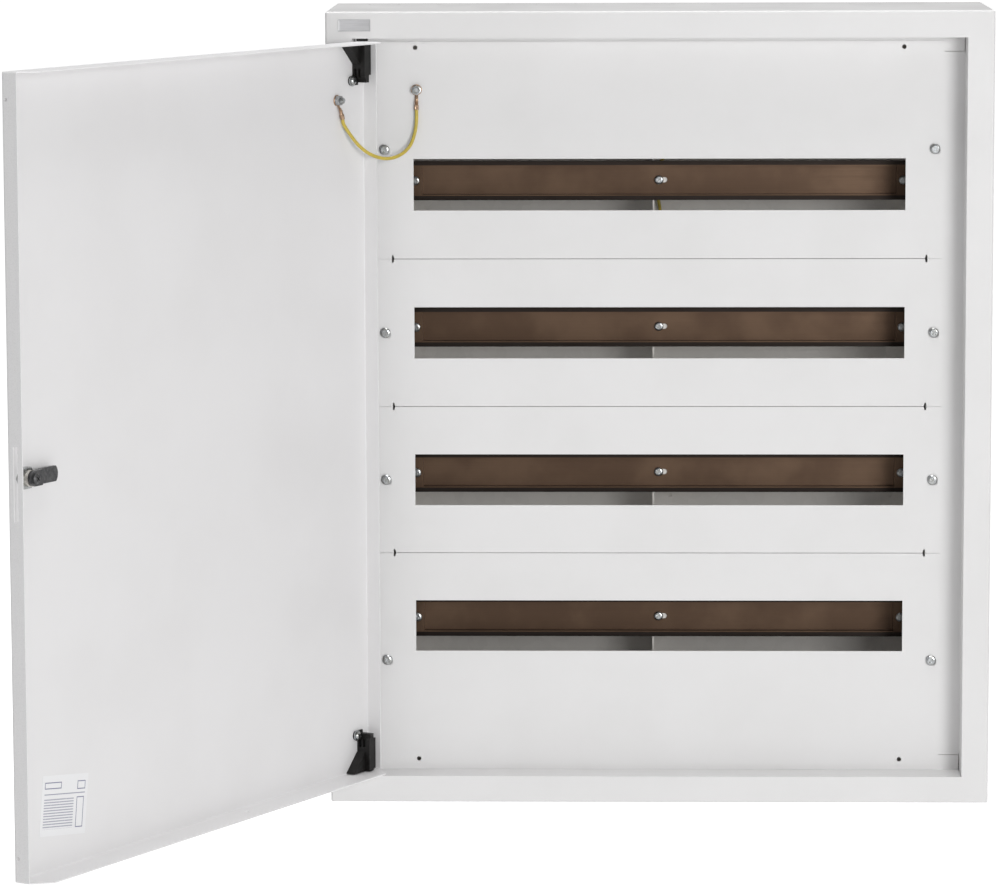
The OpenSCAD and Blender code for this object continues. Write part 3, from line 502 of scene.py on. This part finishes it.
def powder_coat(white, soiled):
    coat = Finish("white_coat", Specular_IOR_Level=COAT_SHINE, Coat_Roughness=0.2)
    cloud = coat.noise(90 * MM, detail=4)
    speck = coat.noise(0.5 * MM, detail=2)
    colour = coat.blend(cloud.ramp(0.35, 0.75), white, soiled)
    ripple = coat.noise(PEEL_SIZE, detail=3, rough=0.55) + coat.noise(6 * MM, detail=1) * 0.8
    coat.set(Base_Color=colour, Roughness=coat.noise(30 * MM).ramp(0.3, 0.7, 0.36, 0.46)
             + speck * 0.05, Coat_Weight=cloud.ramp(0.3, 0.7, 0.04, 0.12),
             Normal=coat.bump(ripple, PEEL_DEPTH))
    return coat


finishes["white_powder_coat"] = powder_coat((0.74, 0.735, 0.735), (0.715, 0.71, 0.708))

# %% [markdown]
# The door has a textured coat outside, which hides scratches, and a thin smooth coat inside. Both
# are in one finish: a mask asks whether a point is on the outer skin of the door.

# %% Mix the door's coat
def door_coat():
    coat = Finish("door_coat", Specular_IOR_Level=COAT_SHINE)
    u = coat.along(across_door, door_corner)
    v = coat.along(into_tray, door_corner)
    height = coat.along((0, 0, 1))
    rim = 0.6 * MM
    outside = [v < rim, u < rim, u > DOOR_W - rim, height > DOOR_TOP - rim,
               height < DOOR_BOTTOM + rim]
    mask = outside[0]
    for other in outside[1:]:
        mask = mask.math("MAXIMUM", mask, other)
    cloud = coat.noise(110 * MM, detail=4)
    plain = coat.blend(cloud.ramp(0.35, 0.75), (0.76, 0.753, 0.757), (0.738, 0.73, 0.733))
    grain = coat.node("ShaderNodeTexVoronoi", {"feature": "SMOOTH_F1"},
                      {"Vector": coat.place, "Scale": 1 / (1.3 * MM), "Smoothness": 0.6})
    speckle = coat.noise(0.9 * MM, detail=2)
    pitted = coat.blend(speckle.ramp(0.45, 0.7), (0.82, 0.815, 0.82), (0.77, 0.765, 0.77))
    smooth = coat.noise(1.2 * MM, detail=3) * 0.5
    rough = (grain + speckle) * mask
    coat.set(Base_Color=coat.blend(mask, plain, pitted),
             Roughness=mask * 0.12 + coat.noise(30 * MM).ramp(0.3, 0.7, 0.36, 0.45),
             Normal=coat.bump(smooth + rough, 0.035 * MM))
    return coat


finishes["white_textured_coat"] = door_coat()

# %% [markdown]
# ## Bare and plated metals
# Galvanised sheet freezes in flat crystals, called spangle. With time it dulls to a pale grey that
# is more matt than metal, and the crystals only just show. The rails are drawn through rolls, so
# their marks run lengthways. Their two brims are painted near black beside the brown trough: this
# is painted shade and painted reflection. The screws are barrel plated, and are bright with a
# faint blue and yellow cast.

# %% Mix the galvanised sheet and the rail steel
def galvanised():
    zinc = Finish("galvanised_sheet", Specular_IOR_Level=0.5)
    sway = zinc.node("ShaderNodeTexNoise", {}, {"Vector": zinc.place, "Scale": 1 / (7 * MM)},
                     output="Color")
    bent = zinc.node("ShaderNodeVectorMath", {"operation": "MULTIPLY_ADD"},
                     {0: sway, 1: (3 * MM, 3 * MM, 3 * MM), 2: zinc.place})
    cell = zinc.node("ShaderNodeTexVoronoi", {}, {"Vector": bent, "Scale": 1 / (9 * MM)},
                     output="Color")
    tone = zinc.node("ShaderNodeSeparateColor", {}, {"Color": cell}, output="Red")
    cloud = zinc.noise(60 * MM, detail=3)
    zinc.set(Base_Color=zinc.blend(tone, (0.74, 0.715, 0.68), (0.78, 0.755, 0.72)),
             Metallic=cloud.ramp(0.3, 0.8, 0.2, 0.35), Roughness=tone * 0.06 + 0.45,
             Normal=zinc.bump(tone + zinc.noise(0.4 * MM), 0.012 * MM))
    return zinc


ROW_PITCH = 131 * MM


def rail_steel():
    steel = Finish("rolled_rail_steel", Specular_IOR_Level=0.5)
    marks = steel.noise(1.0, detail=3, place=steel.stretched((120 * MM, 0.5 * MM, 0.5 * MM)))
    stain = steel.noise(50 * MM, detail=4)
    row = steel.along((0, 0, 1)) / ROW_PITCH
    # The brims get painted shade and painted reflection: their lips are coloured near black.
    brim_painted_shade = abs(row.math("FRACT", row) - 0.5).ramp(13.3 * MM / ROW_PITCH, 13.9 * MM / ROW_PITCH)
    trough = steel.blend(stain.ramp(0.35, 0.7), (0.082, 0.048, 0.029), (0.116, 0.073, 0.047))
    steel.set(Base_Color=steel.blend(brim_painted_shade, trough, (0.020, 0.014, 0.011)),
              Metallic=stain.ramp(0.3, 0.8, 0.72, 0.85), Roughness=marks.ramp(0.3, 0.7, 0.34, 0.5),
              Normal=steel.bump(marks, 0.012 * MM))
    return steel


finishes["grey_zinc_coat"] = galvanised()
finishes["rail_steel"] = rail_steel()


# %% Mix the plated and turned metals
def plated(name, light, dark, metallic=(0.94, 1.0), rough=(0.2, 0.34), mark=0.25 * MM,
           depth=0.008 * MM):
    metal = Finish(name)
    cast = metal.noise(3 * MM, detail=3)
    marks = metal.noise(mark, detail=3, rough=0.6)
    metal.set(Base_Color=metal.blend(cast.ramp(0.3, 0.7), light, dark),
              Metallic=cast.ramp(0.2, 0.8, *metallic), Roughness=marks.ramp(0.3, 0.7, *rough),
              Normal=metal.bump(marks, depth))
    return metal


finishes["zinc_steel"] = plated("bright_zinc", (0.50, 0.52, 0.54), (0.36, 0.36, 0.34))
finishes["dark_steel"] = plated("dark_plating", (0.13, 0.13, 0.13), (0.08, 0.08, 0.085),
                                (0.7, 0.85), (0.3, 0.46), 0.6 * MM, 0.02 * MM)
finishes["nickel_plate"] = plated("nickel", (0.72, 0.70, 0.65), (0.62, 0.60, 0.55),
                                  rough=(0.16, 0.26))
finishes["copper"] = plated("bare_copper", (0.54, 0.37, 0.26), (0.38, 0.26, 0.17),
                            rough=(0.24, 0.42))
finishes["brass_bar"] = plated("brass", (0.80, 0.62, 0.30), (0.66, 0.50, 0.24),
                               rough=(0.24, 0.4), mark=0.5 * MM)

# %% [markdown]
# ## Moulded plastic
# A mould leaves its own fine spark-eroded grain on the plastic, and the plastic is a little
# lighter where it has been rubbed.

# %% Mix the plastics
def moulded(name, deep, rubbed, rough=(0.42, 0.56)):
    plastic = Finish(name, Specular_IOR_Level=0.28)
    grain = plastic.noise(0.35 * MM, detail=2)
    flow = plastic.noise(9 * MM, detail=3)
    plastic.set(Base_Color=plastic.blend(flow.ramp(0.4, 0.8), deep, rubbed),
                Roughness=grain.ramp(0.3, 0.7, *rough), Normal=plastic.bump(grain, 0.03 * MM))
    return plastic


finishes["black_plastic"] = moulded("black_moulding", (0.007, 0.0065, 0.006),
                                    (0.013, 0.012, 0.0115))
finishes["green_plastic"] = moulded("green_moulding", (0.04, 0.30, 0.11), (0.07, 0.38, 0.16))
finishes["blue_plastic"] = moulded("blue_moulding", (0.04, 0.16, 0.44), (0.07, 0.22, 0.52))

# %% [markdown]
# ## Two-colour wire
# Earth wire is yellow with a green stripe, so that no one takes it for anything else. The stripe
# follows the wire round its bends, so it reads the attribute that the sweep left on the mesh: the
# first two numbers say where a point is round the wire, and the third how far along it is.

# %% Mix the wire's insulation
def wire_insulation():
    wire = Finish("green_yellow_insulation", Specular_IOR_Level=0.45)
    wrap = wire.node("ShaderNodeAttribute", {"attribute_name": "wrap"}, {}, output="Vector")
    parts = [wire.node("ShaderNodeSeparateXYZ", {}, {0: wrap}, output=axis) for axis in "XYZ"]
    stripe = (parts[0] * 0.5 + parts[1] * 0.87).ramp(0.62, 0.7)
    scuff = wire.noise(4 * MM, detail=3)
    yellow = wire.blend(scuff.ramp(0.35, 0.8), (0.56, 0.43, 0.065), (0.46, 0.36, 0.065))
    wire.set(Base_Color=wire.blend(stripe, yellow, (0.09, 0.22, 0.04)),
             Roughness=scuff.ramp(0.3, 0.7, 0.34, 0.48),
             Normal=wire.bump(wire.noise(0.5 * MM) + scuff, 0.03 * MM))
    return wire


finishes["green_yellow_wire"] = wire_insulation()

# %% [markdown]
# ## Paper label and pressed plate
# The label on the door is a blank form: three empty boxes, one long rule and a block of short lines.
# It leans a little, as hand-stuck labels do. The rules are drawn by measuring along the label's own
# two directions. The plate is brushed aluminium, with its marks along its length.

# %% Mix the label
LABEL_AT = door_place @ Vector((463 * MM, SHEET, -270.5 * MM))
LABEL_W, LABEL_H = 63 * MM, 49 * MM
lean = math.radians(-7.5)
label_u = across_door * math.cos(lean) + Vector((0, 0, -math.sin(lean)))
label_up = across_door * math.sin(lean) + Vector((0, 0, math.cos(lean)))


def label_form():
    paper = Finish("ruled_paper", Specular_IOR_Level=0.35)
    u = paper.along(label_u, LABEL_AT)
    up = paper.along(label_up, LABEL_AT)

    def bar(signal, low, high):
        return (signal > low * MM) * (signal < high * MM)

    def frame_line(u_low, u_high, low, high, width):
        outer = bar(u, u_low, u_high) * bar(up, low, high)
        inner = bar(u, u_low + width, u_high - width) * bar(up, low + width, high - width)
        return outer - inner

    line = up / (2.2 * MM)
    rules = line.math("FRACT", line) < 0.42
    words = paper.noise(1.0, detail=1, place=paper.stretched((2.5 * MM, 2.5 * MM, 2.2 * MM)))
    block = bar(u, -13, 28) * bar(up, -19, 6) * rules * words.ramp(0.2, 0.45, 0.7, 1)
    ink = block * 0.7
    for u_low, u_high, low, high in ((5, 28, 13.5, 19), (-28, -17, 12, 19), (-27, -17, -19, 6)):
        ink = ink + frame_line(u_low, u_high, low, high, 0.8)
    ink = ink + bar(u, -28, 28) * bar(up, 8.7, 9.5) * 0.8
    paper.set(Base_Color=paper.blend(ink, (0.80, 0.80, 0.81), (0.20, 0.20, 0.30)),
              Roughness=paper.noise(2 * MM).ramp(0.3, 0.7, 0.4, 0.55),
              Normal=paper.bump(paper.noise(0.3 * MM), 0.01 * MM))
    return paper


def brushed_plate():
    metal = Finish("brushed_plate")
    marks = metal.noise(1.0, detail=3, place=metal.stretched((14 * MM, 0.2 * MM, 0.12 * MM)))
    metal.set(Base_Color=metal.blend(marks.ramp(0.3, 0.7), (0.42, 0.42, 0.43),
                                     (0.56, 0.56, 0.57)),
              Metallic=marks.ramp(0.2, 0.8, 0.7, 0.8), Roughness=marks.ramp(0.3, 0.7, 0.42, 0.56),
              Normal=metal.bump(marks, 0.01 * MM))
    return metal


finishes["printed_label"] = label_form()
finishes["silver_plate"] = brushed_plate()
print(len(finishes), "finishes mixed")

# %% [markdown]
# ## Giving every part its finish
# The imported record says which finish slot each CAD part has, and each new piece named its own when
# it was made. So one loop paints everything, and nothing can be left out.

# %% Paint the CAD parts and the new pieces
slots = {row["node"]: row["material_slot"] for row in frame["record"]["subparts"]}
painted = [(frame["nodes"][node], slot) for node, slot in slots.items()] + new_pieces
for piece, slot in painted:
    piece.data.materials.clear()
    piece.data.materials.append(finishes[slot].material)
print(len(painted), "parts painted")

# %% [markdown]
# ## The studio
# The cabinet hangs on its wall, so the floor lies some way below it. The floor and the
# surroundings are nearly white. The floor also glows, dim near the cabinet and brighter further
# back, and this painted glow shines on the cabinet too. A large soft light to the right gives the
# gentle shadows in the recess and behind the lead, a weak one beside the camera opens the
# cut-outs, and one overhead lights the top. The surroundings look brighter than they shine, so
# that the backdrop is white and the shadows stay.

# %% Lay the floor
FLOOR_HALF, FLOOR_DROP = 60.0, 0.3
floor_bm = bmesh.new()
bmesh.ops.create_grid(floor_bm, x_segments=1, y_segments=1, size=FLOOR_HALF,
                      matrix=moved(0, 0, cad_low.z - FLOOR_DROP))
floor_mesh = bpy.data.meshes.new("floor")
floor_bm.to_mesh(floor_mesh)
floor_bm.free()
floor = bpy.data.objects.new("floor", floor_mesh)
scene.collection.objects.link(floor)
pale = Finish("pale_floor", Roughness=0.9, Specular_IOR_Level=0.1, Emission_Strength=1.0)
# The floor glows: dim near the cabinet, brighter further back. This painted glow also lights the
# cabinet.
glow = pale.along((0, 1, 0)).ramp(0.2, 1.4, 0.12, 0.85)
pale.set(Base_Color=(0.92, 0.92, 0.92),
         Emission_Color=pale.blend(glow, (0.0, 0.0, 0.0), (1.0, 1.0, 1.0)))
floor_mesh.materials.append(pale.material)


# %% Hang the lights
def softbox(name, place, size, watts):
    light = bpy.data.objects.new(name, bpy.data.lights.new(name, "AREA"))
    light.data.shape, light.data.size, light.data.energy = "DISK", size, watts
    light.location = place
    light.rotation_euler = (-Vector(place)).to_track_quat("-Z", "Y").to_euler()
    scene.collection.objects.link(light)


softbox("key", (1.6, -3.95, 0.55), 1.5, 76)
softbox("fill", (-0.2, -4.3, 0.6), 1.0, 5)
softbox("overhead", (0, -0.2, 3.0), 2.0, 66)
SHINES, LOOKS = 0.24, 0.85
world = bpy.data.worlds.new("studio")
scene.world = world
world.use_nodes = True
surround = world.node_tree.nodes["Background"]
surround.inputs["Color"].default_value = (1.0, 1.0, 1.0, 1.0)
ray = world.node_tree.nodes.new("ShaderNodeLightPath")
level = world.node_tree.nodes.new("ShaderNodeMapRange")
level.inputs["To Min"].default_value, level.inputs["To Max"].default_value = SHINES, LOOKS
world.node_tree.links.new(ray.outputs["Is Camera Ray"], level.inputs["Value"])
world.node_tree.links.new(level.outputs["Result"], surround.inputs["Strength"])
scene.view_settings.view_transform = "Standard"
